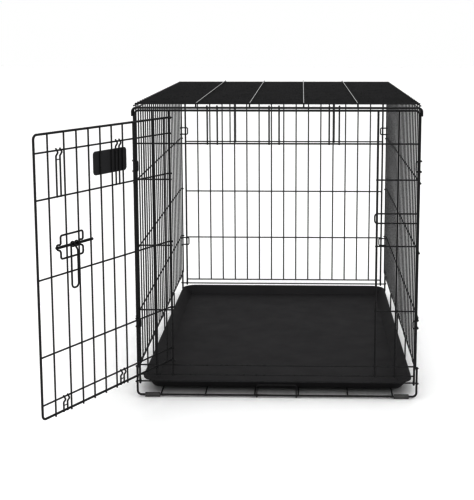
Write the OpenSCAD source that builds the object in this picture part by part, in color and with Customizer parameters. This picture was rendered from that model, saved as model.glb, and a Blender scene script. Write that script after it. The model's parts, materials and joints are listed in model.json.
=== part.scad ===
// Folding wire dog crate with one hinged door, a slide-out pan and a drop-in rear panel.
// Millimetres, +Z up. The origin is on the floor, at the centre of the crate's footprint;
// -Y is the front, where the door is, and the door stands open at rest.

/* [Crate] */
// Overall width of the crate body
crate_w = 711; // [708:0.5:716]
// Overall length of the crate body
crate_l = 1067; // [1062:0.5:1072]
// Height of the crosswise wires' top above the floor
crate_h = 743.5; // [742:0.5:746]

/* [Wire] */
// Radius of the thin grid wires
grid_r = 1.6; // [1.5:0.05:1.6]
// Radius of the side panels' uprights
side_grid_r = 1.4; // [1.3:0.05:1.6]
// Radius of the side panels' frames
side_r = 1.9; // [1.7:0.05:1.9]
// Radius of the panel frames' wires
frame_r = 2.3; // [2.15:0.05:2.3]
// Radius of the base and top end wires
end_r = 2.3; // [2.15:0.05:2.3]
// Greatest spacing of the side and top grid wires
grid_pitch = 41.5; // [41.1:0.1:41.7]

/* [Front panel] */
// Distance from the crate's centre to the hinge jamb
hinge_jamb = 262.5; // [255:0.5:268]
// Distance from the crate's centre to the latch jamb
latch_jamb = 247.5; // [240:0.5:255]
// Height of the rail over the door opening
header_z = 646.5; // [640:0.5:655]

/* [Door] */
// Width of the door from its hinge axis to its free edge
door_w = 486.5; // [475:0.5:490]
// Height of the door's bottom wire
door_low = 96.5; // [95:0.5:102]
// Height of the door's top wire
door_high = 710.5; // [706:0.5:714]
// Angle at which the door stands open
door_open = 117.5; // [90:0.5:150]

/* [Pan] */
// Half the width over the pan's rim
pan_half_w = 346; // [335:1:346]
// Height of the pan from underside to rim
pan_h = 25.5; // [20:0.5:25.5]
// Plan radius of the pan's corners
pan_corner = 44; // [40:1:80]

/* [Hidden] */

$fn = 48;
weld = 0.05;                  // how far crossing wires sink into each other at a weld
play = 0.35;                  // radial play of a wire curl round the wire it turns on
wire_black = [0.07, 0.07, 0.08];

// Base
ground_z = 5.2;               // height of the end wires' axis
leg_x = crate_w / 2 - end_r;
end_y = crate_l / 2 - end_r;  // plane of the front and rear panels
leg_top = 82.5;
long_z = ground_z + end_r + grid_r - weld;
cross_z = long_z - 2 * grid_r + weld;
long_xs = [-293, -180, -55, 55, 180, 293];
cross_ys = [-250, 0, 250];
cross_x = crate_w / 2 - 3 * grid_r + weld;       // the crosswise wires' ends stand inside the base rails
hinge_z = 39.5;                 // axis that the end panels fold about
hinge_r = 1.5;
curl_r = hinge_r + play + frame_r;
hinge_y = end_y - curl_r;
wrap_r = end_r + hinge_r - weld;          // the hinge wires' ends wrap the base's legs
base_y = hinge_y + wrap_r;                // plane of the base's end wires
base_rail_z = 69.5;
ring_wire_r = 1.05;                       // the rings round the legs, clear of the front frame
ring_r = end_r + ring_wire_r - 0.01;

// Feet
foot_r = 5.7;
foot_x = crate_w / 2 - 40.5;
foot_len = 37;

// Side panels
rail_x = crate_w / 2 - grid_r;
upright_x = rail_x - grid_r - side_grid_r + weld;
post_x = rail_x - grid_r - side_r - 0.02;
post_y = end_y - 6.4;
side_low = 79.5;
side_high = 730.5;
side_rail_zs = [208.5, 373.5, 548.5];
side_wires = ceil(2 * post_y / grid_pitch) - 1;
side_step = 2 * post_y / (side_wires + 1);
bottom_clip_gaps = [1, 7, 12, 18, 24];    // spaces between uprights, counted from the front
clip_r = side_r + 0.03;                  // inside of a clip's fold
clip_t = 0.8;

// Corner hooks, between the two heights of each pair
hook_x = post_x + side_r + grid_r - weld;
front_hook_y = end_y + frame_r + grid_r + 0.2;
rear_hook_y = end_y + frame_r + grid_r + 0.4;
front_hook_zs = [[183.5, 203.5], [578.5, 604.5]];
rear_hook_zs = [[175.5, 199.5], [561.5, 583.5]];

// Top panel
top_cross_z = crate_h - grid_r;
top_long_z = top_cross_z + 2 * grid_r - weld;
top_rail_z = top_cross_z - grid_r - hinge_r + weld;
top_rail_x = crate_w / 2 - 5.5;
top_end_z = crate_h - 9;
top_long_xs = [-197.5, -66, 66, 197.5];
top_wires = ceil(2 * end_y / grid_pitch) - 1;
top_step = 2 * end_y / (top_wires + 1);
top_clip_gaps = [1, 12, 24];             // spaces between crosswise wires, from the front

// Front panel
front_edge = post_x - 3.9;
front_high = 728;
front_mids = [-304.5, 298];
front_low_zs = [57.5, 82.5];
strip_zs = [226, 391.5, 557.5];
rail_in = frame_r + grid_r - weld;        // rails lie this far inside the posts' plane
receiver_z = 461.5;
receiver_h = 24;
receiver_reach = 5;                       // the receiver's end, past the latch jamb
front_hook_xs = [-170, -145.5, -18.5, 6, 128.5, 153];
front_hook_low = header_z - 3;

// Door, in its own frame: X runs from the hinge axis to the free edge, -Y is its outer face
door_curl = frame_r + play + frame_r;     // the door wires' offset from the hinge axis
door_upright_y = -door_curl + frame_r + grid_r - weld;
door_rail_y = door_upright_y - 2 * grid_r + weld;
door_rail_zs = [128, 234, 402.5, 573, 672];
door_step = 41.35;
door_near = 22.8;                         // first upright from the hinge
door_regular = 10;                        // uprights at the regular step
door_far = 448;                           // last upright, past a wider gap
door_corner = 10;
door_hook_xs = [208.5, 415];
door_hook_gap = 13;
hook_bulge = 6;                           // how far a door hook bends inwards near its tip
tie_r = 0.9;                              // the crosspiece that joins a pair
plate_w = 120;
plate_h = 53;
plate_x = 233;
plate_z = 629.5;
plate_t = 2;
plate_sink = 0.02;                        // how far the plate's back presses into the wires

// Latch, in the door's frame
bracket_x0 = 336;
bracket_x1 = 411;
bracket_z0 = 435.5;
bracket_z1 = 487;
bracket_r = 1.8;
bracket_bend = 5;
bracket_y = door_upright_y - grid_r - bracket_r + weld;
bolt_z = 460;
bolt_r = 2.9;
kink = 11;                                // how far the bracket's kinks stand out
kink_h = 6;                               // half a kink's height
bolt_y = bracket_y - kink + bracket_r + play + bolt_r;
bolt_x0 = 295.5;
bolt_x1 = 418.5;
handle_r = 1.8;
handle_xs = [341, 363.5];
handle_jog = 9;                           // the near leg steps aside below the bolt
handle_low = 360;
handle_bend = 9;
handle_curl = bolt_r + play + handle_r;

// Rear panel
rear_edge = front_edge - 9;
rear_wires = 15;
rear_step = 2 * rear_edge / (rear_wires + 1);
rear_high = 728;
rear_rail_zs = [53.5, 203.5, 365.5, 537.5];
rear_hook_xs = [-183.5, -164.5, 155, 172];
rear_hook_low = rear_rail_zs[3] - 3;
hook_y = end_y - rail_in - 2 * grid_r + weld;
hook_top = top_end_z + end_r + 0.25 + grid_r;
hook_reach = 9;

// Pan
pan_z = long_z + grid_r + 0.3;
pan_wall = 2.2;
pan_rim = 5;
pan_slope = 22;                           // how far the walls lean in from rim to floor
pan_half_l = crate_l / 2 - 22;

// Pan stop
stop_r = 1.2;
stop_curl = end_r + 0.3 + stop_r;
stop_half_w = 50;
stop_top = 34;

function unit(v) = v / norm(v);
function turn(u, v) = acos(max(-1, min(1, u * v)));
function sideways(d) = unit(cross(d, abs(d.z) < 0.9 ? [0, 0, 1] : [1, 0, 0]));

// Puts its children in the frame with the given origin and three unit axes.
module in_frame(o, a, b, c) {
    multmatrix([
        [a.x, b.x, c.x, o.x],
        [a.y, b.y, c.y, o.y],
        [a.z, b.z, c.z, o.z],
        [0, 0, 0, 1],
    ]) children();
}

// A straight wire from p to q.
module rod(p, q, r) {
    d = unit(q - p);
    a = sideways(d);
    in_frame(p, a, cross(d, a), d) cylinder(h = norm(q - p), r = r);
}

// Part of a ring about c, from direction a towards direction b.
module arc(c, a, b, bend, r, angle) {
    in_frame(c, a, b, cross(a, b)) rotate_extrude(angle = angle) translate([bend, 0]) circle(r);
}

// A wire along the points, bent to the given radius at each corner.
module bent_wire(points, bend, r) {
    last = len(points) - 1;
    dirs = [for (i = [0:last - 1]) unit(points[i + 1] - points[i])];
    trims = [for (i = [0:last]) i == 0 || i == last ? 0 : bend * tan(turn(dirs[i - 1], dirs[i]) / 2)];
    for (i = [0:last - 1]) rod(points[i] + dirs[i] * trims[i], points[i + 1] - dirs[i] * trims[i + 1], r);
    for (i = [1:last - 1]) {
        inward = unit(dirs[i] - (dirs[i] * dirs[i - 1]) * dirs[i - 1]);
        centre = points[i] - dirs[i - 1] * trims[i] + inward * bend;
        arc(centre, -inward, dirs[i - 1], bend, r, turn(dirs[i - 1], dirs[i]));
    }
}

module wire_x(x0, x1, y, z, r) rod([x0, y, z], [x1, y, z], r);
module wire_y(x, y0, y1, z, r) rod([x, y0, z], [x, y1, z], r);
module wire_z(x, y, z0, z1, r) rod([x, y, z0], [x, y, z1], r);

// ---- Base ----

module base_end_wire(y) {
    bent_wire([[-leg_x, y, leg_top], [-leg_x, y, ground_z], [leg_x, y, ground_z], [leg_x, y, leg_top]], 10, end_r);
}

module base_front_wire() color(wire_black) base_end_wire(-base_y);
module base_rear_wire() color(wire_black) base_end_wire(base_y);

module base_cross_wires() color(wire_black) {
    for (y = cross_ys) {
        bent_wire([
            [-cross_x, y, base_rail_z + 4], [-cross_x, y, cross_z],
            [cross_x, y, cross_z], [cross_x, y, base_rail_z + 4],
        ], 8, grid_r);
    }
}

module base_long_wires() color(wire_black) {
    for (x = long_xs) wire_y(x, -base_y - 1, base_y + 1, long_z, grid_r);
}

module base_side_rails() color(wire_black) {
    for (s = [-1, 1]) wire_y(s * rail_x, -base_y + end_r - weld, base_y - end_r + weld, base_rail_z, grid_r);
}

// The wire that an end panel folds about, its ends wrapped round the base's legs.
module base_hinge_wire(s) {
    wire_x(-leg_x, leg_x, s * hinge_y, hinge_z, hinge_r);
    for (e = [-1, 1]) arc([e * leg_x, s * base_y, hinge_z], [0, -s, 0], [e, 0, 0], wrap_r, hinge_r, 200);
}

module base_front_hinge_wire() color(wire_black) base_hinge_wire(-1);
module base_rear_hinge_wire() color(wire_black) base_hinge_wire(1);

// Wire rings round the base's legs, level with the side panels' bottom wires.
module leg_wraps() color(wire_black) {
    for (x = [-leg_x, leg_x], y = [-base_y, base_y]) {
        translate([x, y, side_low]) rotate_extrude() translate([ring_r, 0]) circle(ring_wire_r);
    }
}

// A rubber sleeve on the ground wire, cut flat where it stands on the floor.
module foot(x, y) color([0.04, 0.04, 0.04]) {
    difference() {
        wire_x(x - foot_len / 2, x + foot_len / 2, y, ground_z, foot_r);
        wire_x(x - foot_len, x + foot_len, y, ground_z, end_r + 0.02);
        translate([x - foot_len, y - 2 * foot_r, -2 * foot_r]) cube([2 * foot_len, 4 * foot_r, 2 * foot_r]);
    }
}

module foot_front_left() foot(-foot_x, -base_y);
module foot_front_right() foot(foot_x, -base_y);
module foot_rear_left() foot(-foot_x, base_y);
module foot_rear_right() foot(foot_x, base_y);

// ---- Side panels ----

module side_frame(s) color(wire_black) {
    bent_wire([
        [s * post_x, -post_y, side_high - 20], [s * post_x, -post_y, side_low],
        [s * post_x, post_y, side_low], [s * post_x, post_y, side_high],
        [s * post_x, -post_y, side_high], [s * post_x, -post_y, side_high - 20],
    ], 6, side_r);
}

module side_uprights(s) color(wire_black) {
    for (i = [1:side_wires]) {
        wire_z(s * upright_x, -post_y + i * side_step, side_low + side_r - 0.1, side_high - side_r + 0.1, side_grid_r);
    }
}

// Rails on the outside of the uprights, their ends curled round the posts.
module side_rails(s) color(wire_black) {
    for (z = side_rail_zs) {
        wire_y(s * rail_x, -post_y, post_y, z, grid_r);
        for (e = [-1, 1]) arc([s * post_x, e * post_y, z], [s, 0, 0], [0, e, 0], rail_x - post_x, grid_r, 200);
    }
}

module left_side_frame() side_frame(-1);
module left_side_uprights() side_uprights(-1);
module left_side_rails() side_rails(-1);
module right_side_frame() side_frame(1);
module right_side_uprights() side_uprights(1);
module right_side_rails() side_rails(1);

// A steel band folded round two parallel lengthwise wires.
module band(p, q, width) {
    d = unit(q - p);
    in_frame(p - [0, width / 2, 0], d, cross([0, 1, 0], d), [0, 1, 0]) linear_extrude(width) difference() {
        stadium(norm(q - p), clip_r + clip_t);
        stadium(norm(q - p), clip_r);
    }
}

module stadium(length, r) {
    circle(r);
    translate([length, 0]) circle(r);
    translate([0, -r]) square([length, 2 * r]);
}

module bottom_clips(s) color(wire_black) {
    for (i = bottom_clip_gaps) {
        y = -post_y + (i + 0.5) * side_step;
        band([s * rail_x, y, base_rail_z], [s * post_x, y, side_low], 12);
    }
}

module top_clips(s) color(wire_black) {
    for (i = top_clip_gaps) {
        y = -end_y + (i + 0.5) * top_step;
        band([s * post_x, y, side_high], [s * top_rail_x, y, top_rail_z], 16);
    }
}

module left_bottom_clips() bottom_clips(-1);
module right_bottom_clips() bottom_clips(1);
module left_top_clips() top_clips(-1);
module right_top_clips() top_clips(1);

// Hairpins on the side panels' posts that keep an end panel from swinging outwards.
module corner_hooks(s, y, inner_x, heights) color(wire_black) {
    for (e = [-1, 1], h = heights) {
        bent_wire([
            [e * hook_x, s * (post_y - 4), h[0]], [e * hook_x, s * y, h[0]], [e * inner_x, s * y, h[0]],
            [e * inner_x, s * y, h[1]], [e * hook_x, s * y, h[1]], [e * hook_x, s * (post_y - 4), h[1]],
        ], 4, grid_r);
    }
}

module front_corner_hooks() corner_hooks(-1, front_hook_y, front_edge - 5.5, front_hook_zs);
module rear_corner_hooks() corner_hooks(1, rear_hook_y, rear_edge - 7, rear_hook_zs);

// ---- Top panel ----

module top_end_wire(y) {
    bent_wire([
        [-leg_x, y, top_end_z - 20], [-leg_x, y, top_end_z],
        [leg_x, y, top_end_z], [leg_x, y, top_end_z - 20],
    ], 10, end_r);
}

module top_front_wire() color(wire_black) top_end_wire(-end_y);
module top_rear_wire() color(wire_black) top_end_wire(end_y);

module top_side_rails() color(wire_black) {
    for (s = [-1, 1]) wire_y(s * top_rail_x, -end_y + 8, end_y - 8, top_rail_z, hinge_r);
}

module top_cross_wires() color(wire_black) {
    for (i = [1:top_wires]) wire_x(-top_rail_x - 2, top_rail_x + 2, -end_y + i * top_step, top_cross_z, grid_r);
}

// The lengthwise wires lie on the crosswise ones and turn down inside the end wires.
module top_long_wires() color(wire_black) {
    y = end_y - end_r - grid_r + weld;
    low = top_end_z - 2;
    for (x = top_long_xs) {
        bent_wire([[x, -y, low], [x, -y, top_long_z], [x, y, top_long_z], [x, y, low]], 4, grid_r);
    }
}

// ---- Front panel ----

module front_frame() color(wire_black) {
    bent_wire([
        [-front_edge, -end_y, hinge_z], [-front_edge, -end_y, front_high],
        [front_edge, -end_y, front_high], [front_edge, -end_y, hinge_z],
    ], 9, frame_r);
}

module front_posts() color(wire_black) {
    for (x = [-hinge_jamb, front_mids[0], front_mids[1], latch_jamb]) {
        wire_z(x, -end_y, front_low_zs[0] - 2, front_high - frame_r + 0.1, frame_r);
    }
}

module front_rails() color(wire_black) {
    y = -end_y + rail_in;
    for (z = front_low_zs) wire_x(-front_edge - 1, front_edge + 1, y, z, grid_r);
    wire_x(-front_edge - 1, front_edge + 1, y, header_z, grid_r);
    for (z = strip_zs) {
        wire_x(-front_edge - 1, -hinge_jamb + 3, y, z, grid_r);
        wire_x(latch_jamb - 3, front_edge + 1, y, z, grid_r);
    }
}

// The frame's feet curl round the hinge wire, under it and up again.
module hinge_curl(x, s) arc([x, s * hinge_y, hinge_z], [0, s, 0], [0, 0, -1], curl_r, frame_r, 250);

module front_hinge_curls() color(wire_black) {
    for (x = [-front_edge, front_edge]) hinge_curl(x, -1);
}

// A hook wire: up the inside of an end panel, then outwards over the top's end wire.
module top_hook(x, low, s) {
    bent_wire([[x, s * hook_y, low], [x, s * hook_y, hook_top], [x, s * (hook_y + hook_reach), hook_top]], 3, grid_r);
}

module front_top_hooks() color(wire_black) {
    for (x = front_hook_xs) top_hook(x, front_hook_low, -1);
}

// The hairpin that the latch bolt enters, welded inside the latch jamb.
module latch_receiver() color(wire_black) {
    y = -end_y + rail_in;
    low = receiver_z - receiver_h / 2;
    high = receiver_z + receiver_h / 2;
    bent_wire([
        [front_edge + 1, y, low], [latch_jamb - receiver_reach, y, low],
        [latch_jamb - receiver_reach, y, high], [front_edge + 1, y, high],
    ], 7, grid_r);
}

// ---- Door ----

module on_door() {
    translate([-hinge_jamb, -end_y, 0]) rotate([0, 0, -door_open]) children();
}

module door_frame() color(wire_black) on_door() {
    bent_wire([
        [0, -door_curl, door_high], [door_w, -door_curl, door_high],
        [door_w, -door_curl, door_low], [0, -door_curl, door_low],
    ], door_corner, frame_r);
}

module door_uprights() color(wire_black) on_door() {
    for (i = [0:door_regular - 1]) {
        wire_z(door_near + i * door_step, door_upright_y, door_low - frame_r - 1, door_high + 1, grid_r);
    }
    wire_z(door_far, door_upright_y, door_low - frame_r - 1, door_high + 1, grid_r);
}

module door_rails() color(wire_black) on_door() {
    for (z = door_rail_zs) wire_x(0, door_w - frame_r + 0.1, door_rail_y, z, grid_r);
}

// The rails' ends, curled round the hinge jamb.
module door_hinge_curls() color(wire_black) on_door() {
    for (z = door_rail_zs) door_hinge_curl(z, -door_rail_y, grid_r);
    for (z = [door_low, door_high]) door_hinge_curl(z, door_curl, frame_r);
}

module door_hinge_curl(z, bend, r) arc([0, 0, z], [0, -1, 0], [-1, 0, 0], bend, r, 275);

// A pair of hook wires joined by a crosspiece, bulging inwards as they pass a door rail.
module hook_pair(x, low, rail, tie) {
    y = door_upright_y;
    rise = hook_bulge * 4 / 3;
    for (s = [-1, 1]) {
        hx = x + s * door_hook_gap / 2;
        bent_wire([
            [hx, y, low], [hx, y, rail - 3 - rise], [hx, y + hook_bulge, rail - 3], [hx, y, rail - 3 + rise],
        ], 3, grid_r);
    }
    wire_x(x - door_hook_gap / 2, x + door_hook_gap / 2, y, tie, tie_r);
}

module door_upper_hooks() color(wire_black) on_door() {
    for (x = door_hook_xs) hook_pair(x, door_rail_zs[3] - 1, door_rail_zs[4], door_rail_zs[4] - 19);
}

module door_lower_hooks() color(wire_black) on_door() {
    for (x = door_hook_xs) hook_pair(x, door_low - 1, door_rail_zs[0], door_low + 13);
}

// A plain rounded plate on the outer face of the door's uprights.
module door_plate() color([0.05, 0.05, 0.06]) on_door() {
    corner = 8;
    y = door_upright_y - grid_r + plate_sink;
    translate([plate_x, y, plate_z]) rotate([90, 0, 0]) linear_extrude(plate_t) union() {
        square([plate_w - 2 * corner, plate_h], center = true);
        square([plate_w, plate_h - 2 * corner], center = true);
        for (i = [-1, 1], j = [-1, 1]) {
            translate([i * (plate_w / 2 - corner), j * (plate_h / 2 - corner)]) circle(corner);
        }
    }
}

// A wire loop whose two upright sides kink outwards, to guide the bolt.
module latch_bracket() color(wire_black) on_door() {
    out = bracket_y - kink;
    mid = (bracket_x0 + bracket_x1) / 2;
    for (x = [bracket_x0, bracket_x1]) {
        bent_wire([
            [mid, bracket_y, bracket_z1], [x, bracket_y, bracket_z1], [x, bracket_y, bolt_z + kink_h],
            [x, out, bolt_z + kink_h], [x, out, bolt_z - kink_h], [x, bracket_y, bolt_z - kink_h],
            [x, bracket_y, bracket_z0], [mid, bracket_y, bracket_z0],
        ], bracket_bend, bracket_r);
    }
}

module latch_bolt() color(wire_black) on_door() wire_x(bolt_x0, bolt_x1, bolt_y, bolt_z, bolt_r);

// A long U that hangs from two curls on the bolt, one leg stepping aside below its curl.
module latch_handle() color(wire_black) on_door() {
    y = bolt_y - handle_curl;
    near = handle_xs[0] + handle_jog;
    for (x = [near, handle_xs[1]]) arc([x, bolt_y, bolt_z], [0, -1, 0], [0, 0, 1], handle_curl, handle_r, 285);
    bent_wire([
        [near, y, bolt_z], [near, y, bolt_z - 5], [handle_xs[0], y, bolt_z - 5 - handle_jog * 4 / 3],
        [handle_xs[0], y, handle_low], [handle_xs[1], y, handle_low], [handle_xs[1], y, bolt_z],
    ], handle_bend, handle_r);
}

// ---- Rear panel ----

module rear_frame() color(wire_black) {
    bent_wire([
        [-rear_edge, end_y, hinge_z], [-rear_edge, end_y, rear_high],
        [rear_edge, end_y, rear_high], [rear_edge, end_y, hinge_z],
    ], 9, frame_r);
}

module rear_uprights() color(wire_black) {
    y = end_y - rail_in + 2 * grid_r - weld;
    for (i = [1:rear_wires]) {
        wire_z(-rear_edge + i * rear_step, y, rear_rail_zs[0] - 1, rear_high - frame_r + 0.1, grid_r);
    }
}

module rear_rails() color(wire_black) {
    for (z = rear_rail_zs) wire_x(-rear_edge - 1, rear_edge + 1, end_y - rail_in, z, grid_r);
}

module rear_hinge_curls() color(wire_black) {
    for (x = [-rear_edge, rear_edge]) hinge_curl(x, 1);
}

module rear_top_hooks() color(wire_black) {
    for (x = rear_hook_xs) top_hook(x, rear_hook_low, 1);
}

// ---- Pan and pan stop ----

// The pan's floor, wall and rim in section, outwards from a corner's centre.
module pan_section() {
    wall = pan_corner - pan_rim;
    polygon([
        [0, 0], [wall - pan_slope, 0], [wall, pan_h - pan_wall], [pan_corner, pan_h - pan_wall],
        [pan_corner, pan_h], [wall - pan_wall, pan_h], [wall - pan_slope - pan_wall, pan_wall], [0, pan_wall],
    ]);
}

// A straight side of the pan, its section standing outwards along +X.
module pan_side(half_length) rotate([90, 0, 0]) translate([0, 0, -half_length]) linear_extrude(2 * half_length) {
    pan_section();
}

module pan() color([0.09, 0.09, 0.1]) translate([0, 0, pan_z]) {
    x = pan_half_w - pan_corner;
    y = pan_half_l - pan_corner;
    translate([-x, -y, 0]) cube([2 * x, 2 * y, pan_wall]);
    for (turn = [0, 180]) rotate([0, 0, turn]) {
        translate([x, 0, 0]) pan_side(y);
        translate([0, y, 0]) rotate([0, 0, 90]) pan_side(x);
        translate([x, y, 0]) rotate_extrude(angle = 90) pan_section();
        translate([-x, y, 0]) rotate([0, 0, 90]) rotate_extrude(angle = 90) pan_section();
    }
}

// A wire gate that turns on the ground wire and stands up in front of the pan.
module pan_stop() color(wire_black) {
    y = -base_y - stop_curl;
    for (x = [-stop_half_w, stop_half_w]) {
        arc([x, -base_y, ground_z], [0, -1, 0], [0, 0, -1], stop_curl, stop_r, 285);
    }
    bent_wire([
        [-stop_half_w, y, ground_z], [-stop_half_w, y, stop_top],
        [stop_half_w, y, stop_top], [stop_half_w, y, ground_z],
    ], 4, stop_r);
}

base_front_wire();
base_rear_wire();
base_cross_wires();
base_long_wires();
base_side_rails();
base_front_hinge_wire();
base_rear_hinge_wire();
leg_wraps();
foot_front_left();
foot_front_right();
foot_rear_left();
foot_rear_right();
left_side_frame();
left_side_uprights();
left_side_rails();
right_side_frame();
right_side_uprights();
right_side_rails();
left_bottom_clips();
right_bottom_clips();
left_top_clips();
right_top_clips();
front_corner_hooks();
rear_corner_hooks();
top_front_wire();
top_rear_wire();
top_side_rails();
top_cross_wires();
top_long_wires();
front_frame();
front_posts();
front_rails();
front_hinge_curls();
front_top_hooks();
latch_receiver();
door_frame();
door_uprights();
door_rails();
door_hinge_curls();
door_upper_hooks();
door_lower_hooks();
door_plate();
latch_bracket();
latch_bolt();
latch_handle();
rear_frame();
rear_uprights();
rear_rails();
rear_hinge_curls();
rear_top_hooks();
pan();
pan_stop();
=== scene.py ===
# A wire dog crate in a plain studio: the CAD model's nodes with procedural materials.
# Metres, +Z up. The crate's front, with the open door, faces -Y.
import json
import math

import bpy
from mathutils import Matrix, Vector

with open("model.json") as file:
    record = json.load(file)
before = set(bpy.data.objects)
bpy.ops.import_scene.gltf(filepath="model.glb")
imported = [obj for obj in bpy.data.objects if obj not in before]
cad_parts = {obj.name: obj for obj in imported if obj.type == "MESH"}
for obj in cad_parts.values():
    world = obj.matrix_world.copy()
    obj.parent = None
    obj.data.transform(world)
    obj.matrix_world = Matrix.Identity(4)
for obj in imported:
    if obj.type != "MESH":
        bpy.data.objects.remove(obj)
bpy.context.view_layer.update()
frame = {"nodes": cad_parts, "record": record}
nodes = frame["nodes"]


# ---- Materials ----

NOISE_RANGE = (0.3, 0.7)        # where most of a noise texture's values lie
WIRE_DARK = (0.028, 0.028, 0.029)
WIRE_LIGHT = (0.042, 0.042, 0.044)


def new_material(name):
    """A node material with its Principled shader, and its node tree."""
    mat = bpy.data.materials.new(name)
    mat.use_nodes = True
    tree = mat.node_tree
    shader = next(n for n in tree.nodes if n.type == "BSDF_PRINCIPLED")
    return mat, tree, shader


def object_coords(tree):
    return tree.nodes.new("ShaderNodeTexCoord").outputs["Object"]


def noise(tree, scale, detail=4.0, roughness=0.5, stretch=(1, 1, 1)):
    """Noise over the object's own coordinates, in features of about 1/scale metres."""
    mapping = tree.nodes.new("ShaderNodeMapping")
    mapping.inputs["Scale"].default_value = stretch
    tex = tree.nodes.new("ShaderNodeTexNoise")
    tex.inputs["Scale"].default_value = scale
    tex.inputs["Detail"].default_value = detail
    tex.inputs["Roughness"].default_value = roughness
    tree.links.new(object_coords(tree), mapping.inputs["Vector"])
    tree.links.new(mapping.outputs["Vector"], tex.inputs["Vector"])
    return tex.outputs["Fac"]


def ramp(tree, value, stops):
    """A colour ramp over the value; each stop is (position, colour)."""
    node = tree.nodes.new("ShaderNodeValToRGB")
    elements = node.color_ramp.elements
    while len(elements) < len(stops):
        elements.new(0.5)
    for element, (position, colour) in zip(elements, stops):
        element.position = position
        element.color = (*colour, 1.0)
    tree.links.new(value, node.inputs["Fac"])
    return node.outputs["Color"]


def spread(tree, value, low, high):
    """The noise value's usual range, mapped to low to high."""
    node = tree.nodes.new("ShaderNodeMapRange")
    node.inputs["From Min"].default_value, node.inputs["From Max"].default_value = NOISE_RANGE
    node.inputs["To Min"].default_value = low
    node.inputs["To Max"].default_value = high
    tree.links.new(value, node.inputs["Value"])
    return node.outputs["Result"]


def bump(tree, height, strength, distance, below=None):
    """A bump node's normal, laid over another bump where one is given."""
    node = tree.nodes.new("ShaderNodeBump")
    node.inputs["Strength"].default_value = strength
    node.inputs["Distance"].default_value = distance
    tree.links.new(height, node.inputs["Height"])
    if below:
        tree.links.new(below, node.inputs["Normal"])
    return node.outputs["Normal"]


def coated_wire(name, dark, light, rough_low, rough_high):
    """Satin black coating over steel: slight mottling, orange peel and uneven gloss."""
    mat, tree, shader = new_material(name)
    mottle = noise(tree, 45, 5)
    tree.links.new(ramp(tree, mottle, [(0.35, dark), (0.7, light)]), shader.inputs["Base Color"])
    gloss = noise(tree, 160, 3)
    tree.links.new(spread(tree, gloss, rough_low, rough_high), shader.inputs["Roughness"])
    dips = bump(tree, noise(tree, 320, 2), 0.25, 0.0002)
    tree.links.new(bump(tree, noise(tree, 1500, 2), 0.2, 0.00008, dips), shader.inputs["Normal"])
    shader.inputs["IOR"].default_value = 1.48
    shader.inputs["Coat Weight"].default_value = 0.15
    shader.inputs["Coat Roughness"].default_value = 0.2
    return mat


def moulded_plastic(name, dark, light, rough_low, rough_high, grain):
    """Black moulded plastic: a fine stipple, long faint scuffs and cloudy gloss."""
    mat, tree, shader = new_material(name)
    cloud = noise(tree, 6, 4)
    tree.links.new(ramp(tree, cloud, [(0.3, dark), (0.75, light)]), shader.inputs["Base Color"])
    gloss = noise(tree, 14, 6, 0.6)
    tree.links.new(spread(tree, gloss, rough_low, rough_high), shader.inputs["Roughness"])
    scuffs = bump(tree, noise(tree, 30, 3, 0.6, (1, 0.12, 1)), 0.15, 0.0003)
    cells = tree.nodes.new("ShaderNodeTexVoronoi")
    cells.inputs["Scale"].default_value = grain
    tree.links.new(object_coords(tree), cells.inputs["Vector"])
    tree.links.new(bump(tree, cells.outputs["Distance"], 0.35, 0.0002, scuffs), shader.inputs["Normal"])
    shader.inputs["IOR"].default_value = 1.49
    shader.inputs["Specular IOR Level"].default_value = 0.25
    return mat


def rubber():
    """Matte black rubber with fine pits and dust."""
    mat, tree, shader = new_material("foot_rubber")
    dust = noise(tree, 70, 6, 0.65)
    tree.links.new(
        ramp(tree, dust, [(0.4, (0.12, 0.12, 0.12)), (0.8, (0.17, 0.168, 0.165))]),
        shader.inputs["Base Color"],
    )
    tree.links.new(spread(tree, noise(tree, 200, 3), 0.6, 0.8), shader.inputs["Roughness"])
    tree.links.new(bump(tree, noise(tree, 900, 3), 0.4, 0.0003), shader.inputs["Normal"])
    return mat


WIRE = coated_wire("coated_wire", WIRE_DARK, WIRE_LIGHT, 0.24, 0.4)
TOP_WIRE = coated_wire("glossy_wire", WIRE_DARK, WIRE_LIGHT, 0.08, 0.16)
CLIP = coated_wire("coated_strip", WIRE_DARK, WIRE_LIGHT, 0.3, 0.46)
PAN = moulded_plastic("pan_plastic", (0.058, 0.057, 0.059), (0.067, 0.0655, 0.068), 0.46, 0.56, 900)
PLATE = moulded_plastic("plate_plastic", (0.055, 0.055, 0.057), (0.075, 0.075, 0.078), 0.34, 0.46, 1400)
RUBBER = rubber()

BY_SLOT = {"wire": WIRE, "clip": CLIP, "pan_plastic": PAN, "plate_plastic": PLATE, "rubber": RUBBER}
slot_of = {s["node"]: s["material_slot"] for s in frame["record"]["subparts"]}
for name, node in nodes.items():
    node.data.materials.clear()
    node.data.materials.append(TOP_WIRE if name == "top_long_wires" else BY_SLOT[slot_of[name]])

# ---- Floor and lights ----

FLOOR_SIZE = 40
FLOOR_COLOUR = (0.85, 0.85, 0.85)
BACKDROP_LEVEL = 1.0            # the white backdrop behind the crate
ROOM_LEVEL = 1.3                # the studio on the camera's side
ROOM_EDGES = (-0.6, 0.3)        # the direction's Y, where the room ends and the backdrop begins
CEILING_ENERGY = 0.42
CEILING_SPREAD = math.radians(80)
CEILING_TILT = math.radians(25)


bpy.ops.mesh.primitive_plane_add(size=FLOOR_SIZE, location=(0, 0, 0))
floor = bpy.context.object
floor.name = "floor"
floor_white, _, floor_shader = new_material("floor_white")
floor_shader.inputs["Base Color"].default_value = (*FLOOR_COLOUR, 1.0)
floor_shader.inputs["Roughness"].default_value = 0.5
floor.data.materials.append(floor_white)

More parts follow.
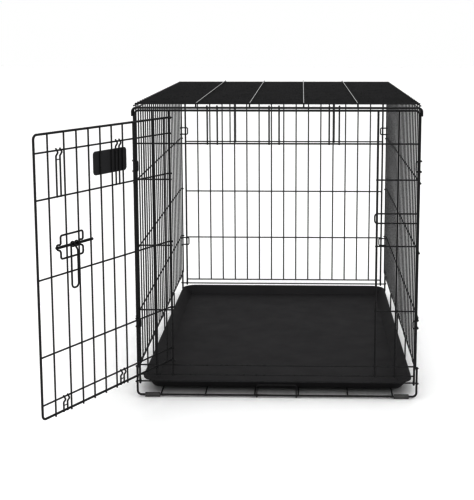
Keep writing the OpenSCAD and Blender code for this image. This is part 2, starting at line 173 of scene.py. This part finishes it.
world = bpy.data.worlds.new("studio")
bpy.context.scene.world = world
world.use_nodes = True
sky = world.node_tree
background = sky.nodes["Background"]
background.inputs["Color"].default_value = (1, 1, 1, 1)
direction = sky.nodes.new("ShaderNodeTexCoord")
axes = sky.nodes.new("ShaderNodeSeparateXYZ")
level = sky.nodes.new("ShaderNodeMapRange")
level.inputs["From Min"].default_value, level.inputs["From Max"].default_value = ROOM_EDGES
level.inputs["To Min"].default_value = ROOM_LEVEL
level.inputs["To Max"].default_value = BACKDROP_LEVEL
sky.links.new(direction.outputs["Generated"], axes.inputs["Vector"])
sky.links.new(axes.outputs["Y"], level.inputs["Value"])
sky.links.new(level.outputs["Result"], background.inputs["Strength"])


def area_light(name, place, target, size, power):
    """A soft rectangular light at a place, aimed at a target."""
    data = bpy.data.lights.new(name, "AREA")
    data.shape = "RECTANGLE"
    data.size, data.size_y = size
    data.energy = power
    light = bpy.data.objects.new(name, data)
    light.location = place
    light.rotation_euler = (Vector(target) - Vector(place)).to_track_quat("-Z", "Y").to_euler()
    bpy.context.scene.collection.objects.link(light)


area_light("key", (0.3, -0.4, 3.4), (0, -0.1, 0.2), (2.6, 2.2), 10)
area_light("front_fill", (0.2, -4.2, 1.3), (0, -0.5, 0), (3, 1.4), 22)

# One broad source, overhead and a little towards the camera, lights the whole floor evenly.
ceiling_data = bpy.data.lights.new("ceiling", "SUN")
ceiling_data.energy = CEILING_ENERGY
ceiling_data.angle = CEILING_SPREAD
ceiling = bpy.data.objects.new("ceiling", ceiling_data)
ceiling.rotation_euler = (CEILING_TILT, 0, 0)
bpy.context.scene.collection.objects.link(ceiling)

# ---- Camera ----

# The camera's place and turn, its lens, and its shift for a picture that is cut off centre.
CAMERA_PLACE = (0.0614, -3.1702, 0.9384)
YAW = -0.02965
PITCH = -0.15680
ROLL = -0.00087
SENSOR = 36.0                   # mm
LENS = 82.42785                 # mm
SHIFT = (-0.0689873, -0.1168776)
TONE_GAMMA = 0.51               # deepens the thin wires' half tones

forward = Vector((math.sin(YAW) * math.cos(PITCH), math.cos(YAW) * math.cos(PITCH), math.sin(PITCH)))
right = Vector((math.cos(YAW), -math.sin(YAW), 0))
up = right.cross(forward)
right, up = (
    right * math.cos(ROLL) + up * math.sin(ROLL),
    up * math.cos(ROLL) - right * math.sin(ROLL),
)
camera_data = bpy.data.cameras.new("camera")
camera = bpy.data.objects.new("camera", camera_data)
bpy.context.scene.collection.objects.link(camera)
camera.matrix_world = Matrix.Translation(CAMERA_PLACE) @ Matrix((right, up, -forward)).transposed().to_4x4()
camera_data.sensor_fit = "HORIZONTAL"
camera_data.sensor_width = SENSOR
camera_data.lens = LENS
camera_data.shift_x, camera_data.shift_y = SHIFT
camera_data.clip_end = 100
bpy.context.scene.camera = camera
bpy.context.scene.view_settings.view_transform = "Standard"
bpy.context.scene.view_settings.gamma = TONE_GAMMA
